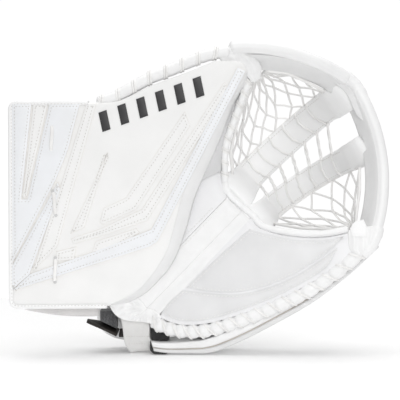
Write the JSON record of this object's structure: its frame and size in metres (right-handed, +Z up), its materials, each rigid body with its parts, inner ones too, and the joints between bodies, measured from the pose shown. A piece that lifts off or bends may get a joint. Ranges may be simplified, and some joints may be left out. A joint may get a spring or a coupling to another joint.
{
  "type": "goalie catch glove",
  "caption": "Ice-hockey goalie catch glove with a flat cuff board, laced edges, netted pocket with a double-strap tee, and finger side, hinged along its break.",
  "frame": {"origin": "middle of the bounding box's underside, on the surface that the glove stands on", "axes": "+Z up; +X from the cuff to the pocket; +Y from the palm side to the back of the hand, so the palm faces -Y"},
  "size_m": [0.3779, 0.1351, 0.3103],
  "materials": {
    "cream_leather": "matt synthetic leather, off-white",
    "pearl_leather": "pearl synthetic leather, faintly blue",
    "white_leather": "smooth white synthetic leather",
    "smooth_leather": "smooth palm leather",
    "grey_leather": "smooth light grey leather",
    "white_binding": "narrow leather binding",
    "beige_binding": "beige binding tape",
    "white_lace": "waxed white skate lace",
    "nylon_lining": "grey nylon lining over foam",
    "knit_lining": "dark ribbed knit",
    "black_webbing": "black nylon webbing with hook and loop",
    "foam": "closed-cell foam with a plastic stiffener",
    "dark_print": "dark raised print"
  },
  "bodies": {
    "finger_side": {"palm_face_leather": "smooth_leather", "palm_foam_core": "foam", "palm_insert": "grey_leather", "palm_crescent": "grey_leather", "finger_rim": "white_binding", "finger_edge_roll": "white_leather", "finger_lacing": "white_lace", "side_board_outer_skin": "white_leather", "side_board_binding": "beige_binding", "side_board_inner_skin": "white_leather", "back_board": "white_leather", "back_ribs": "white_leather", "wrist_pad": "nylon_lining", "index_stall": "nylon_lining", "middle_stall": "nylon_lining", "ring_stall": "nylon_lining", "little_stall": "nylon_lining", "hand_liner": "knit_lining", "lower_roll": "white_leather", "lower_wall": "grey_leather", "finger_tip_cap": "white_leather", "finger_net": "white_lace", "strap_keeper": "white_leather", "webbing_loop": "black_webbing", "wrist_strap": "black_webbing", "hand_strap": "black_webbing"},
    "spine": {"break_band": "smooth_leather", "heel_gusset": "white_leather", "spine_rim": "white_binding", "tee_strap_thumb": "grey_leather", "tee_strap_finger": "grey_leather", "tee_ladder_laces": "white_lace", "tee_cap": "white_leather"},
    "thumb_side": {"cuff_face_leather": "cream_leather", "cuff_foam_core": "foam", "cuff_lining_skin": "nylon_lining", "cuff_binding": "white_binding", "pearl_overlays": "pearl_leather", "cream_overlays": "cream_leather", "emblem_bars": "dark_print", "cuff_lace_ties": "white_lace", "thumb_edge_roll": "white_leather", "thumb_lacing": "white_lace", "cuff_wing": "cream_leather", "thumb_wall": "cream_leather", "thumb_back_pad": "white_leather", "thumb_stall": "nylon_lining", "cuff_liner": "nylon_lining", "upper_roll": "white_leather", "upper_wall": "grey_leather", "thumb_gusset": "grey_leather", "thumb_palm": "smooth_leather", "thumb_rim": "white_binding", "thumb_net": "white_lace"},
    "wrist_strap_tab": {"wrist_strap_tab": "black_webbing"},
    "hand_strap_tab": {"hand_strap_tab": "black_webbing"}
  },
  "joints": [
    {"name": "spine_fold", "type": "hinge", "parent": "finger_side", "child": "spine", "pos_m": [-0.062, -0.0385, 0.037], "axis": [0.6972, 0, 0.7169], "range_deg": [0, 35], "stiffness_Nm_per_rad": 3},
    {"name": "thumb_fold", "type": "hinge", "parent": "spine", "child": "thumb_side", "pos_m": [-0.062, -0.0385, 0.037], "axis": [0.6972, 0, 0.7169], "range_deg": [0, 35], "stiffness_Nm_per_rad": 3},
    {"name": "wrist_tab_fold", "type": "hinge", "parent": "finger_side", "child": "wrist_strap_tab", "pos_m": [-0.083, -0.0115, 0.019], "axis": [0, 1, 0], "range_deg": [-45, 0]},
    {"name": "hand_tab_fold", "type": "hinge", "parent": "finger_side", "child": "hand_strap_tab", "pos_m": [-0.05, 0.03146, 0.028], "axis": [-0.2051, -0.0938, -0.9742], "range_deg": [0, 100]}
  ],
  "couplings": [
    {"joint": "thumb_fold", "follows": "spine_fold", "ratio": 1}
  ]
}
